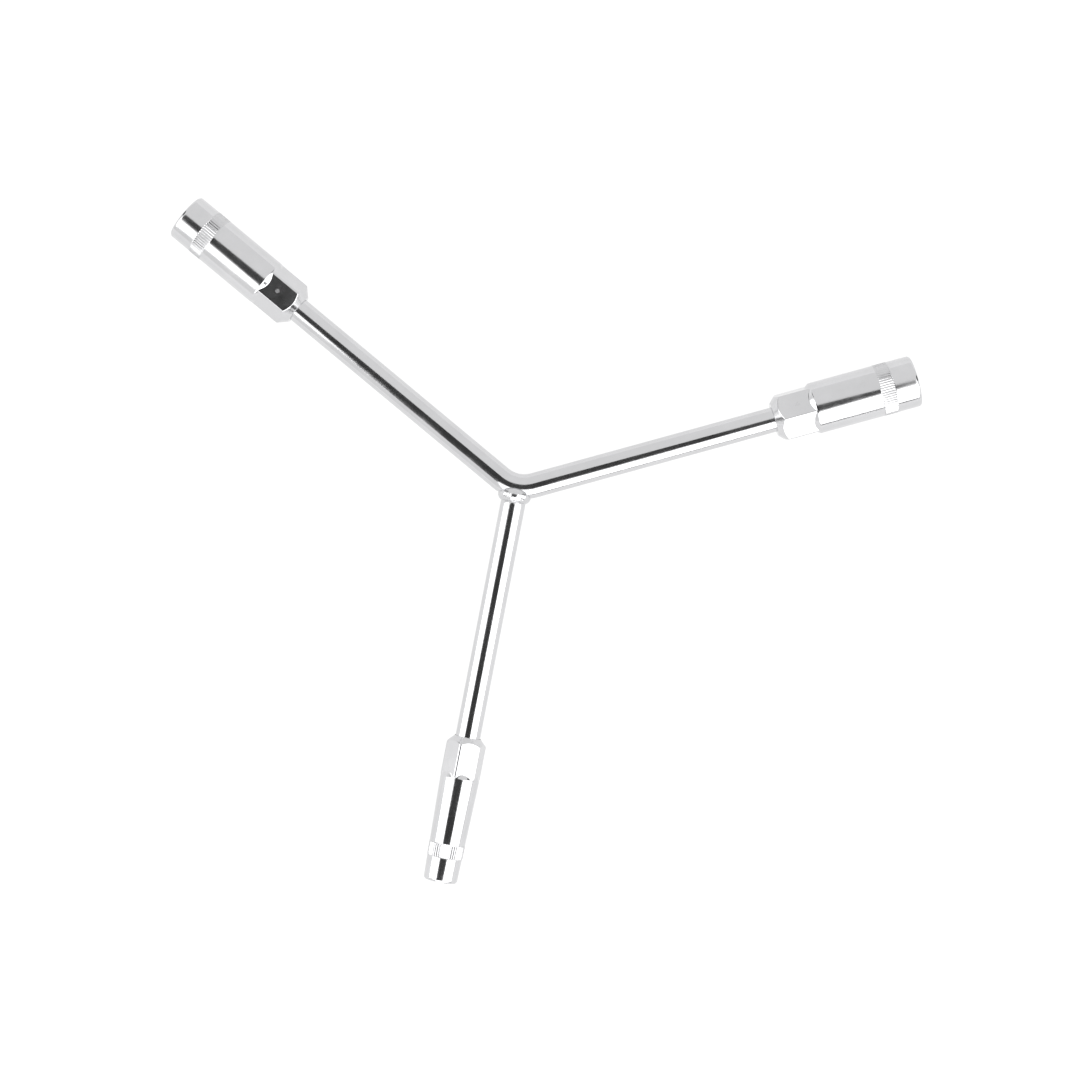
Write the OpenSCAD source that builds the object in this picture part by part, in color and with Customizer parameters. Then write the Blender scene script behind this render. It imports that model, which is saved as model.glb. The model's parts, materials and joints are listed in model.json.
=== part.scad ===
// Three-way lug wrench. One round bar is bent into a shallow V and makes two arms. A second
// bar is butt welded to the back of the bend. Each end carries a deep hexagon socket, which
// is pressed on and held by a cross pin.
// The tool lies flat: Z is up, X is its longest way, the third arm points along -Y, and the
// origin is on the table under the middle of its box.

/* [Bars] */
// Diameter of the round bars
bar_d = 12; // [10:0.5:12.5]
// Radius of the bend, to the centre line of the bar
bend_r = 18; // [14:1:30]
// Direction of the left arm, in degrees from +X
left_angle = 151.2; // [140:0.1:160]
// Direction of the right arm, in degrees from +X
right_angle = 26.3; // [20:0.1:40]
// Where the axes of the arms cross to the mouth of the left socket
left_reach = 205; // [150:1:260]
// Where the axes of the arms cross to the mouth of the right socket
right_reach = 198; // [150:1:260]
// Where the axes of the arms cross to the mouth of the third socket
third_reach = 190; // [150:1:260]

/* [Weld] */
// Outside diameter of the weld collar
collar_d = 16; // [16:0.5:18]
// Length of the weld collar along the third arm
collar_len = 6.5; // [5:0.5:6.5]
// Where the axes of the arms cross to the middle of the weld collar
collar_offset = 2.4; // [1.5:0.1:4]

/* [Socket bodies] */
// Length of each socket
socket_len = 70; // [66:1:80]
// Length of the hexagon shank at the back of each socket
shank_len = 20; // [17:0.5:21]
// Length of the cone between barrel and shank
shoulder_len = 2.4; // [1:0.2:4]
// Length of the 45 degree chamfer at the back of the shank, on its flats
back_chamfer_len = 2.6; // [0.5:0.1:3]
// Chamfer round the outside of the mouth, across the wall
mouth_chamfer = 0.6; // [0.2:0.1:0.8]
// The same chamfer, along the barrel
mouth_chamfer_len = 0.9; // [0.2:0.1:1.5]
// Depth of the hexagon opening
hex_depth = 22; // [15:1:30]
// Depth of the round stud clearance, from the mouth
stud_depth = 42; // [32:1:43]
// Play across the flats of each hexagon opening
hex_play = 0.1; // [0:0.05:0.3]

/* [Knurled band] */
// Mouth to the near edge of the band
band_start = 11.6; // [8:0.2:16]
// Width of the band
band_w = 6.8; // [4:0.2:10]
// Pitch of the grooves round the barrel
groove_pitch = 1.2; // [0.8:0.1:2]
// Slope of the groove sides, in degrees from the barrel's surface
groove_slope = 33; // [20:1:45]

/* [Cross pins] */
// Diameter of each pin
pin_d = 3; // [2:0.5:4]
// Back of the socket to the pin's axis
pin_setback = 12; // [8:0.5:13]

/* [Left socket, 17 mm] */
// Size of nut, across flats
left_size = 17; // [16:1:17]
// Diameter of the barrel
left_barrel_d = 23.4; // [23.3:0.1:25]
// Shank across flats
left_shank_af = 20; // [19:0.1:20]
// Diameter of the stud clearance
left_stud_d = 16; // [12:0.5:16]
// Turn of the socket about its own axis, in degrees
left_roll = 2; // [-30:0.5:30]

/* [Right socket, 19 mm] */
// Size of nut, across flats
right_size = 19; // [18:1:19]
// Diameter of the barrel
right_barrel_d = 24.8; // [24.7:0.1:27]
// Shank across flats
right_shank_af = 21.2; // [20:0.1:21.2]
// Diameter of the stud clearance
right_stud_d = 18; // [14:0.5:18]
// Turn of the socket about its own axis, in degrees
right_roll = -22; // [-30:0.5:30]

/* [Third socket, 12 mm] */
// Size of nut, across flats
third_size = 12; // [10:1:12]
// Diameter of the barrel at the mouth
third_mouth_d = 16.2; // [16:0.1:18]
// Diameter of the barrel at the shank
third_barrel_d = 18.9; // [18:0.1:20]
// Shank across flats
third_shank_af = 17.1; // [16.5:0.1:18]
// Diameter of the stud clearance
third_stud_d = 11; // [8:0.5:11]
// Turn of the socket about its own axis, in degrees
third_roll = -14.5; // [-30:0.5:30]

/* [Hidden] */
$fn = 96;
third_angle = 270;
drill_point_angle = 118;
corner = 1 / cos(30);
margin = 1;
back_ring = 0.3;
front_step = 0.1;
crest_drop = 0.05;
front_slope = 0.6;
bar_start = 1;
bend_lap = 0.3;
bend_swell = 0.04;
shank_start = socket_len - shank_len;
bend_turn = 180 - left_angle + right_angle;
bend_mid_angle = (left_angle + right_angle) / 2;
bend_centre = bend_r / cos(bend_turn / 2);
bend_tangent = bend_r * tan(bend_turn / 2);
collar_rise = (collar_d - bar_d) / 2;
collar_arc_r = (pow(collar_len / 2, 2) + pow(collar_rise, 2)) / (2 * collar_rise);

// How far a socket's mouth reaches in a direction that is turned off the arm's own.
function mouth_reach(reach, mouth_d, turn) = max(
    reach * cos(turn) + (mouth_d / 2 - mouth_chamfer) * abs(sin(turn)),
    (reach - mouth_chamfer_len) * cos(turn) + mouth_d / 2 * abs(sin(turn))
);

box_left = -mouth_reach(left_reach, left_barrel_d, 180 - left_angle);
box_right = mouth_reach(right_reach, right_barrel_d, right_angle);
box_back = max(
    mouth_reach(left_reach, left_barrel_d, left_angle - 90),
    mouth_reach(right_reach, right_barrel_d, 90 - right_angle)
);
box_front = -third_reach;
axis_height = max(left_barrel_d, right_barrel_d, third_barrel_d) / 2;
crossing = [-(box_left + box_right) / 2, -(box_back + box_front) / 2, axis_height];

// Outline of a knurled band: points alternate between groove bottoms and crests. The number
// of crests is a multiple of six, so the band is the same at every flat of the shank.
function knurl_outline(d) =
    let (count = 6 * round(PI * d / groove_pitch / 6))
    let (depth = PI * d / count / 2 * tan(groove_slope))
    [for (i = [0 : 2 * count - 1])
        let (r = d / 2 - (i % 2) * depth)
        [r * cos(180 * i / count), r * sin(180 * i / count)]];

// Puts a child on an arm. The child's own axis is Z: 0 is the mouth and Z runs to the crossing.
module on_arm(angle, reach, roll) {
    translate(crossing)
        rotate([0, 0, angle])
            translate([reach, 0, 0])
                rotate([roll, 0, 0])
                    rotate([0, -90, 0])
                        children();
}

module hexagon(across_flats) {
    rotate(30)
        circle(r = across_flats / 2 * corner, $fn = 6);
}

// Round part of a socket, from the mouth to the small end of the shoulder cone.
module barrel(mouth_d, barrel_d, shank_af) {
    function barrel_r(z) = (mouth_d + (barrel_d - mouth_d) * z / shank_start) / 2;
    band_end = band_start + band_w;
    groove_clear = groove_pitch;
    rotate_extrude()
        polygon([
            [0, 0],
            [mouth_d / 2 - mouth_chamfer, 0],
            [barrel_r(mouth_chamfer_len), mouth_chamfer_len],
            [barrel_r(band_start), band_start],
            [barrel_r(band_start) - groove_clear, band_start],
            [barrel_r(band_end) - groove_clear, band_end],
            [barrel_r(band_end), band_end],
            [barrel_d / 2, shank_start],
            [shank_af / 2, shank_start + shoulder_len],
            [0, shank_start + shoulder_len],
        ]);
    translate([0, 0, band_start])
        linear_extrude(height = band_w)
            polygon(knurl_outline(2 * (barrel_r(band_start + band_w / 2) - crest_drop)));
}

// Hexagon shank. Its corners are turned off in a cone at the back, and at the front where
// they stand out past the barrel.
module shank(barrel_d, shank_af) {
    corner_r = shank_af / 2 * corner;
    front_r = barrel_d / 2 - front_step;
    back_r = max(shank_af / 2 - back_chamfer_len, bar_d / 2 + back_ring);
    intersection() {
        translate([0, 0, shank_start])
            linear_extrude(height = shank_len)
                hexagon(shank_af);
        rotate_extrude()
            polygon([
                [0, shank_start],
                [front_r, shank_start],
                [corner_r + margin, shank_start + (corner_r + margin - front_r) / front_slope],
                [corner_r + margin, socket_len + back_r - corner_r - margin],
                [back_r, socket_len],
                [0, socket_len],
            ]);
    }
}

// Hexagon opening with its lead-in, and the round stud clearance with a drill point.
module opening(size, stud_d) {
    hex_af = size + hex_play;
    translate([0, 0, -margin])
        linear_extrude(height = hex_depth + margin)
            hexagon(hex_af);
    translate([0, 0, -margin])
        cylinder(r1 = hex_af / 2 * corner + margin, r2 = 0, h = hex_af / 2 * corner + margin);
    cylinder(d = stud_d, h = stud_depth);
    translate([0, 0, stud_depth])
        cylinder(r1 = stud_d / 2, r2 = 0, h = stud_d / 2 / tan(drill_point_angle / 2));
}

// Cross pin, flush with two opposite flats of the shank.
module cross_pin(shank_af, extra = 0) {
    translate([-shank_af / 2 - extra, 0, socket_len - pin_setback])
        rotate([0, 90, 0])
            cylinder(d = pin_d, h = shank_af + 2 * extra, $fn = 48);
}

module socket(size, mouth_d, barrel_d, shank_af, stud_d) {
    difference() {
        union() {
            barrel(mouth_d, barrel_d, shank_af);
            shank(barrel_d, shank_af);
        }
        opening(size, stud_d);
        translate([0, 0, shank_start])
            cylinder(d = bar_d, h = shank_len + margin);
        cross_pin(shank_af, margin);
    }
}

// Straight length of bar along an arm, measured from the crossing.
module bar_length(angle, from, to) {
    translate(crossing)
        rotate([0, 0, angle])
            translate([from, 0, 0])
                rotate([0, 90, 0])
                    cylinder(d = bar_d, h = to - from);
}

// Both straight lengths run a little way into the bend, which is a trace thicker.
module bent_bar_blank() {
    bar_length(left_angle, bend_tangent - bend_lap, left_reach - shank_start);
    bar_length(right_angle, bend_tangent - bend_lap, right_reach - shank_start);
    translate(crossing)
        rotate([0, 0, bend_mid_angle])
            translate([bend_centre, 0, 0])
                rotate([0, 0, 180 - bend_turn / 2])
                    rotate_extrude(angle = bend_turn)
                        translate([bend_r, 0])
                            circle(d = bar_d + bend_swell);
}

module bent_bar() {
    color("lightgray")
        difference() {
            bent_bar_blank();
            on_arm(left_angle, left_reach, left_roll) cross_pin(left_shank_af);
            on_arm(right_angle, right_reach, right_roll) cross_pin(right_shank_af);
        }
}

module straight_bar() {
    color("lightgray")
        difference() {
            bar_length(third_angle, bar_start, third_reach - shank_start);
            bent_bar_blank();
            on_arm(third_angle, third_reach, third_roll) cross_pin(third_shank_af);
        }
}

module weld_collar() {
    color("silver")
        difference() {
            translate(crossing + [0, -collar_offset, 0])
                rotate([90, 0, 0])
                    rotate_extrude()
                        translate([collar_d / 2 - collar_arc_r, 0])
                            circle(r = collar_arc_r);
            bent_bar_blank();
            bar_length(third_angle, bar_start, third_reach / 2);
        }
}

module socket_17() {
    color("gainsboro")
        on_arm(left_angle, left_reach, left_roll)
            socket(left_size, left_barrel_d, left_barrel_d, left_shank_af, left_stud_d);
}

module socket_19() {
    color("gainsboro")
        on_arm(right_angle, right_reach, right_roll)
            socket(right_size, right_barrel_d, right_barrel_d, right_shank_af, right_stud_d);
}

module socket_12() {
    color("gainsboro")
        on_arm(third_angle, third_reach, third_roll)
            socket(third_size, third_mouth_d, third_barrel_d, third_shank_af, third_stud_d);
}

module pin_17() {
    color("darkgray")
        on_arm(left_angle, left_reach, left_roll) cross_pin(left_shank_af);
}

module pin_19() {
    color("darkgray")
        on_arm(right_angle, right_reach, right_roll) cross_pin(right_shank_af);
}

module pin_12() {
    color("darkgray")
        on_arm(third_angle, third_reach, third_roll) cross_pin(third_shank_af);
}

bent_bar();
straight_bar();
weld_collar();
socket_17();
socket_19();
socket_12();
pin_17();
pin_19();
pin_12();
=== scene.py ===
import json
import math

import bpy
import numpy as np
from bpy.props import FloatProperty, FloatVectorProperty, IntProperty, PointerProperty
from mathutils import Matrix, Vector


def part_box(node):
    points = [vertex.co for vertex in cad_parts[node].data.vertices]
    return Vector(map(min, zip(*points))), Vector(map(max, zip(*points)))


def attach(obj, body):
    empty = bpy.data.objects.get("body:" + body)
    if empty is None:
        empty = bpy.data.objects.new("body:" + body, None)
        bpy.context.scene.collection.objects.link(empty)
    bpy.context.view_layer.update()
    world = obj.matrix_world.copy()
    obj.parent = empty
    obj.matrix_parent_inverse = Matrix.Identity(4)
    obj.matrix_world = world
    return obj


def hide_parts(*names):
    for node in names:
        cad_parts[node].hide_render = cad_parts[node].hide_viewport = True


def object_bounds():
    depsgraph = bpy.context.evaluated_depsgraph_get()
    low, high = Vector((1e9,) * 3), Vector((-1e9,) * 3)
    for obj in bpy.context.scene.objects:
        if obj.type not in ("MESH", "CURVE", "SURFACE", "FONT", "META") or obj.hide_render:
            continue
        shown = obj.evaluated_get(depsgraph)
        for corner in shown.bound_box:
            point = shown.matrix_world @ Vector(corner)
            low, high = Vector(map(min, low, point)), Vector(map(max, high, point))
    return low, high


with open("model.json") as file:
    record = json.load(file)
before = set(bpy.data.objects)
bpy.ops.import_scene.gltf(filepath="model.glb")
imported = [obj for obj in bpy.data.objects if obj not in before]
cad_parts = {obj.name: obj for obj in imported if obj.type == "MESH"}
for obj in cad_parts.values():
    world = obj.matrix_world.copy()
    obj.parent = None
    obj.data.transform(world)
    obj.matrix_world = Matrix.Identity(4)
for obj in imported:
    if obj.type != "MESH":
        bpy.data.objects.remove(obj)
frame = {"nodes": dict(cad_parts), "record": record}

bl_info = {
    "name": "Three-way lug wrench",
    "version": (1, 0, 0),
    "blender": (4, 5, 0),
    "location": "3D View > Sidebar > Wrench",
    "description": "Builds the chrome plated bars, sockets, weld and pins of a three-way lug wrench",
    "category": "Add Mesh",
}

MM = 0.001
UP = np.array([0.0, 0.0, 1.0])
# A hexagon's size across its corners over its size across its flats.
CORNER = 1 / math.cos(math.radians(30))
SIZES = ("17", "19", "12")
CAD_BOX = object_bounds()


# ---------------------------------------------------------------- places taken from the frame

def vertices_of(node):
    """The vertices of a CAD node, one row each, in metres."""
    mesh = frame["nodes"][node].data
    points = np.empty(len(mesh.vertices) * 3)
    mesh.vertices.foreach_get("co", points)
    return points.reshape(-1, 3)


def unit(vector):
    """The vector divided by its length."""
    return vector / np.linalg.norm(vector)


def pin_line(node):
    """Middle, direction, length and diameter of a cross pin: its long way is the first singular vector."""
    points = vertices_of(node)
    middle = (points.min(axis=0) + points.max(axis=0)) / 2
    direction = np.linalg.svd(points - points.mean(axis=0), full_matrices=False)[2][0]
    direction = direction * np.sign(direction[2])
    along = (points - middle) @ direction
    off_axis = np.linalg.norm(points - middle - np.outer(along, direction), axis=1)
    return middle, direction, np.ptp(along), 2 * off_axis.max()


def arm_of(size):
    """An arm as the frame gives it: the mouth of its socket, the way out of it, and its pinned flat."""
    mount = next(m for m in frame["record"]["mounts"] if m["name"] == "hexagon_" + size)
    mouth = np.array(mount["pos_m"])
    inward = -unit(np.array(mount["axis"], dtype=float))
    # The pins are dressed flush with the shank's flats, so one is as long as the shank is across flats.
    pin_middle, flat, shank_af, pin_d = pin_line("pin_" + size)
    flat = unit(flat - inward * (flat @ inward))
    return {
        "mouth": mouth,
        "inward": inward,
        "flat": flat,
        "side": np.cross(inward, flat),
        "pin_depth": (pin_middle - mouth) @ inward,
        "shank_af": shank_af,
        "pin_d": pin_d,
    }


ARMS = {size: arm_of(size) for size in SIZES}


def turned_radius(size, low, high):
    """Largest radius of a socket's CAD solid between two depths from its mouth."""
    arm = ARMS[size]
    points = vertices_of("socket_" + size) - arm["mouth"]
    depth = points @ arm["inward"]
    radius = np.linalg.norm(points - np.outer(depth, arm["inward"]), axis=1)
    return radius[(depth > low) & (depth < high)].max()


def socket_length(size):
    """Depth of the farthest point of a socket's CAD solid from its mouth."""
    arm = ARMS[size]
    return ((vertices_of("socket_" + size) - arm["mouth"]) @ arm["inward"]).max()


def arms_crossing():
    """Where the axes of the left and the right arm cross."""
    left, right = ARMS["17"], ARMS["19"]
    ways = np.column_stack([left["inward"][:2], -right["inward"][:2]])
    steps = np.linalg.solve(ways, (right["mouth"] - left["mouth"])[:2])
    return left["mouth"] + left["inward"] * steps[0]


CROSSING = arms_crossing()
BAR_D = float(np.ptp(vertices_of("straight_bar")[:, 0]))
SOCKET_LEN = float(socket_length("12"))
COLLAR_LOW, COLLAR_HIGH = (np.array(corner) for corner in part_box("weld_collar"))


# ---------------------------------------------------------------- what a user would change

def length_property(name, description, default):
    """A length in metres, shown in the scene's unit."""
    return FloatProperty(
        name=name, description=description, default=default, min=0, unit="LENGTH", precision=5
    )


def colour_property(name, description, default):
    """A linear colour."""
    return FloatVectorProperty(
        name=name, description=description, default=default, min=0, max=1, size=3, subtype="COLOR"
    )


class WrenchBars(bpy.types.PropertyGroup):
    """Sizes of the two bars and the weld."""

    diameter: length_property("Bar diameter", "Diameter of the round bars", BAR_D)
    bend_radius: length_property("Bend radius", "Radius of the bend's centre line", 18 * MM)
    bend_flattening: FloatProperty(
        name="Bend flattening",
        description="Part of the radius that the bar loses on the two sides of its bend",
        default=0.012, min=0, max=0.1,
    )
    bend_rows: IntProperty(name="Bend rows", description="Rings along the bend", default=72, min=8)
    around: IntProperty(name="Columns", description="Columns round each bar", default=128, min=24)


class WrenchWeld(bpy.types.PropertyGroup):
    """Sizes of the weld collar."""

    diameter: length_property(
        "Collar diameter", "Outside diameter of the weld collar", float(COLLAR_HIGH[0] - COLLAR_LOW[0])
    )
    length: length_property("Collar length", "Length of the collar along the bar", 6.5 * MM)
    ripple: length_property("Ripple", "Height of the weld ripples", 0.09 * MM)
    ripples: IntProperty(name="Ripples", description="Weld ripples round the collar", default=22, min=3)


class WrenchSockets(bpy.types.PropertyGroup):
    """Sizes that the three sockets share."""

    shank_length: length_property("Shank length", "Length of the hexagon shank", 20 * MM)
    shoulder: length_property("Shoulder", "Length of the cone behind the barrel", 2.4 * MM)
    back_chamfer: length_property("Back chamfer", "Chamfer at the shank's back, on its flats", 2.6 * MM)
    back_ring: length_property("Back ring", "Narrowest flat left round the bar", 0.3 * MM)
    mouth_chamfer: length_property("Mouth chamfer", "Chamfer round the mouth, across the wall", 0.6 * MM)
    mouth_chamfer_length: length_property(
        "Mouth chamfer length", "The same chamfer, along the barrel", 0.9 * MM
    )
    hexagon_depth: length_property("Hexagon depth", "Depth of the hexagon opening", 22 * MM)
    hexagon_play: length_property("Hexagon play", "Play across the flats of the opening", 0.1 * MM)
    stud_depth: length_property("Stud depth", "Depth of the round clearance", 42 * MM)
    band_start: length_property("Band start", "Mouth to the knurled band", 11.6 * MM)
    band_width: length_property("Band width", "Width of the knurled band", 6.8 * MM)
    groove_pitch: length_property("Groove pitch", "Pitch of the knurl's grooves", 1.2 * MM)
    edge_softness: length_property("Edge softness", "How far plating rounds the edges", 0.35 * MM)
    groove_columns: IntProperty(
        name="Groove columns", description="Columns of the mesh in each groove", default=6, min=4
    )
    groove_slope: FloatProperty(
        name="Groove slope", description="Slope of the groove sides", default=math.radians(33),
        min=0, max=1, unit="ROTATION",
    )


class WrenchFinish(bpy.types.PropertyGroup):
    """Colours and polish of the steel."""

    chrome: colour_property("Chrome", "Colour of the bright plate", (0.63, 0.63, 0.64))
    dull: colour_property("Dull plate", "Colour of the thin plate inside", (0.34, 0.34, 0.35))
    roughness: FloatProperty(
        name="Roughness", description="Roughness of clean plate", default=0.085, min=0, max=1
    )


class WrenchStage(bpy.types.PropertyGroup):
    """Camera, floor, lights, and the dark cards that the plate reflects."""

    distance: length_property("Camera distance", "Camera to the plane of the arms", 1.3)
    lens: FloatProperty(name="Lens", description="Focal length in millimetres", default=90.65, min=10)
    turn: FloatProperty(
        name="Camera turn", description="Turn of the camera about its axis",
        default=math.radians(10.95), unit="ROTATION",
    )
    aim_right: length_property("Aim right", "Aim point to the right of the crossing", 11.7 * MM)
    aim_down: length_property("Aim down", "Aim point below the crossing", 23.7 * MM)
    softbox: FloatProperty(name="Softbox", description="Brightness of the softboxes", default=1.75)
    room: FloatProperty(name="Room", description="Brightness of the room", default=1.0)
    table: FloatProperty(name="Table", description="Brightness of the light table", default=0.92)
    hood_radius: length_property("Hood radius", "Radius of the dark hood round the lens", 0.54)
    hood_height: length_property("Hood height", "Height of the hood above the crossing", 1.22)
    hood_left: length_property("Hood left", "Hood to the left of the aim point", 0.13)
    hood_down: length_property("Hood down", "Hood below the aim point", 0.15)
    boom_height: length_property("Boom height", "Height of the camera boom", 1.2)
    boom_start: length_property("Boom start", "Crossing to the near end of the boom", 0.3)
    boom_end: length_property("Boom end", "Crossing to the far end of the boom", 1.35)
    boom_width: length_property("Boom width", "Width of the boom", 0.27)
    skirt_radius: length_property("Skirt radius", "Crossing to the table's dark skirt", 1.3)
    skirt_foot: length_property("Skirt foot", "Height of the skirt's lower edge", 0.03)
    skirt_top: length_property("Skirt top", "Height of the skirt's upper edge", 0.14)
    flag_distance: length_property("Flag distance", "Crossing to each dark flag", 1.36)
    flag_width: length_property("Flag width", "Width of each dark flag", 0.32)
    flag_foot: length_property("Flag foot", "Height of each flag's lower edge", 0.1)
    flag_top: length_property("Flag top", "Height of each flag's upper edge", 0.95)
    dark_cloth: colour_property(
        "Dark cloth", "Colour of the hood, boom, skirt and flags", (0.03, 0.03, 0.03)
    )
    floor: colour_property("Floor", "Colour of the light table's sheet", (0.1, 0.1, 0.1))


# ---------------------------------------------------------------- surfaces

# The most of a side that one rounded corner may take, so that two corners never meet.
SIDE_SHARE = 0.49


def skin(name, points, along, around, close_rows=False, part=None):
    """A mesh over a grid of points whose columns run round and close on themselves.

    Rows 0 and -1 are closed by a fan to their own middle, or joined to each other with close_rows.
    The UV map holds metres: u round the piece, from around, and v along it, from along. part gives
    the material of each strip between two rows.
    """
    rows, columns = points.shape[:2]
    index = np.arange(rows * columns).reshape(rows, columns)
    upper = np.roll(index, -1, axis=0) if close_rows else index[1:]
    lower = index if close_rows else index[:-1]

    def right(grid):
        return np.roll(grid, -1, axis=-1)

    quads = np.stack([lower, right(lower), right(upper), upper], axis=-1).reshape(-1, 4)
    strips = len(lower)
    column = np.tile(np.arange(columns), strips)
    row = np.repeat(np.arange(strips), columns)
    quad_u = np.stack([column, column + 1, column + 1, column], axis=-1) / columns * around
    quad_v = along[np.stack([row, row, row + 1, row + 1], axis=-1)]
    vertices = points.reshape(-1, 3)
    faces = quads.tolist()
    u, v = quad_u.ravel(), quad_v.ravel()
    materials = np.zeros(strips, int) if part is None else part[:strips]
    materials = np.repeat(materials, columns)
    if not close_rows:
        poles = points[[0, -1]].mean(axis=1)
        vertices = np.vstack([vertices, poles])
        first = np.stack([right(index[0]), index[0], np.full(columns, rows * columns)], axis=-1)
        last = np.stack([index[-1], right(index[-1]), np.full(columns, rows * columns + 1)], axis=-1)
        faces += first.tolist() + last.tolist()
        spoke = np.arange(columns)
        first_u = np.stack([spoke + 1, spoke, spoke + 0.5], axis=-1)
        last_u = np.stack([spoke, spoke + 1, spoke + 0.5], axis=-1)
        u = np.concatenate([u, first_u.ravel() / columns * around, last_u.ravel() / columns * around])
        v = np.concatenate([v, np.full(3 * columns, along[0]), np.full(3 * columns, along[-1])])
        materials = np.concatenate(
            [materials, np.full(columns, materials[0]), np.full(columns, materials[-1])]
        )
    mesh = bpy.data.meshes.new(name)
    mesh.from_pydata(vertices.tolist(), [], faces)
    layer = mesh.uv_layers.new(name="surface")
    layer.data.foreach_set("uv", np.stack([u, v], axis=-1).ravel())
    mesh.polygons.foreach_set("material_index", materials.astype(np.int32))
    mesh.polygons.foreach_set("use_smooth", np.ones(len(mesh.polygons), bool))
    mesh.update()
    return mesh


def add_values(mesh, name, values):
    """A number for each vertex of a skin; its poles take the value of the row beside them."""
    flat = values.ravel()
    spare = len(mesh.vertices) - flat.size
    flat = np.concatenate([flat, [values[0].mean(), values[-1].mean()][:spare]])
    mesh.attributes.new(name, "FLOAT", "POINT").data.foreach_set("value", flat.astype(np.float32))


def finish_piece(mesh, nodes, materials):
    """Puts a mesh in the scene in place of CAD nodes, with its materials."""
    piece = bpy.data.objects.new(mesh.name, mesh)
    bpy.context.scene.collection.objects.link(piece)
    for material in materials:
        mesh.materials.append(material)
    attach(piece, "root")
    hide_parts(*nodes)
    return piece


def arc_length(points):
    """Distance travelled along rows of points, from 0 at the first."""
    steps = np.linalg.norm(np.diff(points, axis=0), axis=1)
    return np.concatenate([[0.0], np.cumsum(steps)])


def soft_corners(corners, softness, steps=6):
    """A profile with its corners rounded.

    Each inner corner becomes a quadratic curve that leaves one side and meets the other at the
    given distance from it, or at just under half the side where that is shorter.
    """
    corners = np.asarray(corners, dtype=float)
    inner = corners[1:-1]
    before, after = corners[:-2] - inner, corners[2:] - inner
    before_len = np.linalg.norm(before, axis=1, keepdims=True)
    after_len = np.linalg.norm(after, axis=1, keepdims=True)
    reach = np.minimum(softness, np.minimum(before_len, after_len) * SIDE_SHARE)
    start = inner + before / before_len * reach
    end = inner + after / after_len * reach
    t = np.linspace(0, 1, steps)[None, :, None]
    curves = (1 - t) ** 2 * start[:, None] + 2 * t * (1 - t) * inner[:, None] + t ** 2 * end[:, None]
    return np.vstack([corners[:1], curves.reshape(-1, 2), corners[-1:]])


def soft_min(a, b, softness):
    """The smaller of two heights, less a parabola where they are within softness of each other."""
    blend = np.clip(1 - np.abs(a - b) / softness, 0, None)
    return np.minimum(a, b) - blend ** 2 * softness / 4


def soft_max(a, b, softness):
    """The larger of two heights, plus a parabola where they are within softness of each other."""
    return -soft_min(-a, -b, softness)


def hexagon_radius(turn, across_flats):
    """Distance from the axis to a hexagon's side: half the flats over the cosine off its flat."""
    sixth = math.radians(60)
    off_flat = (turn + sixth / 2) % sixth - sixth / 2
    return across_flats / 2 / np.cos(off_flat)


def spread(*stops):
    """Rising values from (value, count) stops: each stretch up to a value is cut into count steps."""
    values = [np.array([stops[0][0]])]
    for (start, _), (end, count) in zip(stops, stops[1:]):
        values.append(np.linspace(start, end, count + 1)[1:])
    return np.concatenate(values)


# ---------------------------------------------------------------- materials

# Sockets of a Mix node that mixes colours; their names repeat, so they are told apart by number.
MIX_FACTOR, MIX_FIRST, MIX_SECOND, MIX_RESULT = 0, 6, 7, 2
# Tones are shares of the plate's colour. Haze multiplies the plate's roughness, and wear and pits
# add to it.
HAZE_TONES = (0.95, 1.02)
WORN_TONE = 0.82
HAZE_DULLS = 2.2
WEAR_DULLS = 0.22
PITS_DULL = 0.2
PIT_REACH = 0.05
FINE_LINE_HEIGHT = 0.02 * MM
PLATE_WAVE = 0.03 * MM
WELD_WAVE = 0.08 * MM
CLOUD_TONES = (0.7, 1.2)
TOOL_ROUGHNESS = (0.24, 0.5)
TOOL_LINE_HEIGHT = 0.05 * MM
# Lines per metre round a piece and along it.
LENGTHWISE_LINES = (2400, 26)
TURNED_LINES = (26, 2400)
WELD_LINES = (300, 300)
PIN_LINES = (900, 900)
BROACH_LINES = (2600, 60)


def new_material(name):
    """A material with an empty node tree, its tree, and a function that adds a node with settings."""
    material = bpy.data.materials.new(name)
    material.use_nodes = True
    tree = material.node_tree
    tree.nodes.clear()

    def add(kind, **settings):
        node = tree.nodes.new(kind)
        for key, value in settings.items():
            if key in node.inputs:
                node.inputs[key].default_value = value
            else:
                setattr(node, key, value)
        return node

    return material, tree, add


def grey(colour, share):
    """A colour scaled by a share, with alpha."""
    return (*[min(1.0, channel * share) for channel in colour], 1.0)


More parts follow.
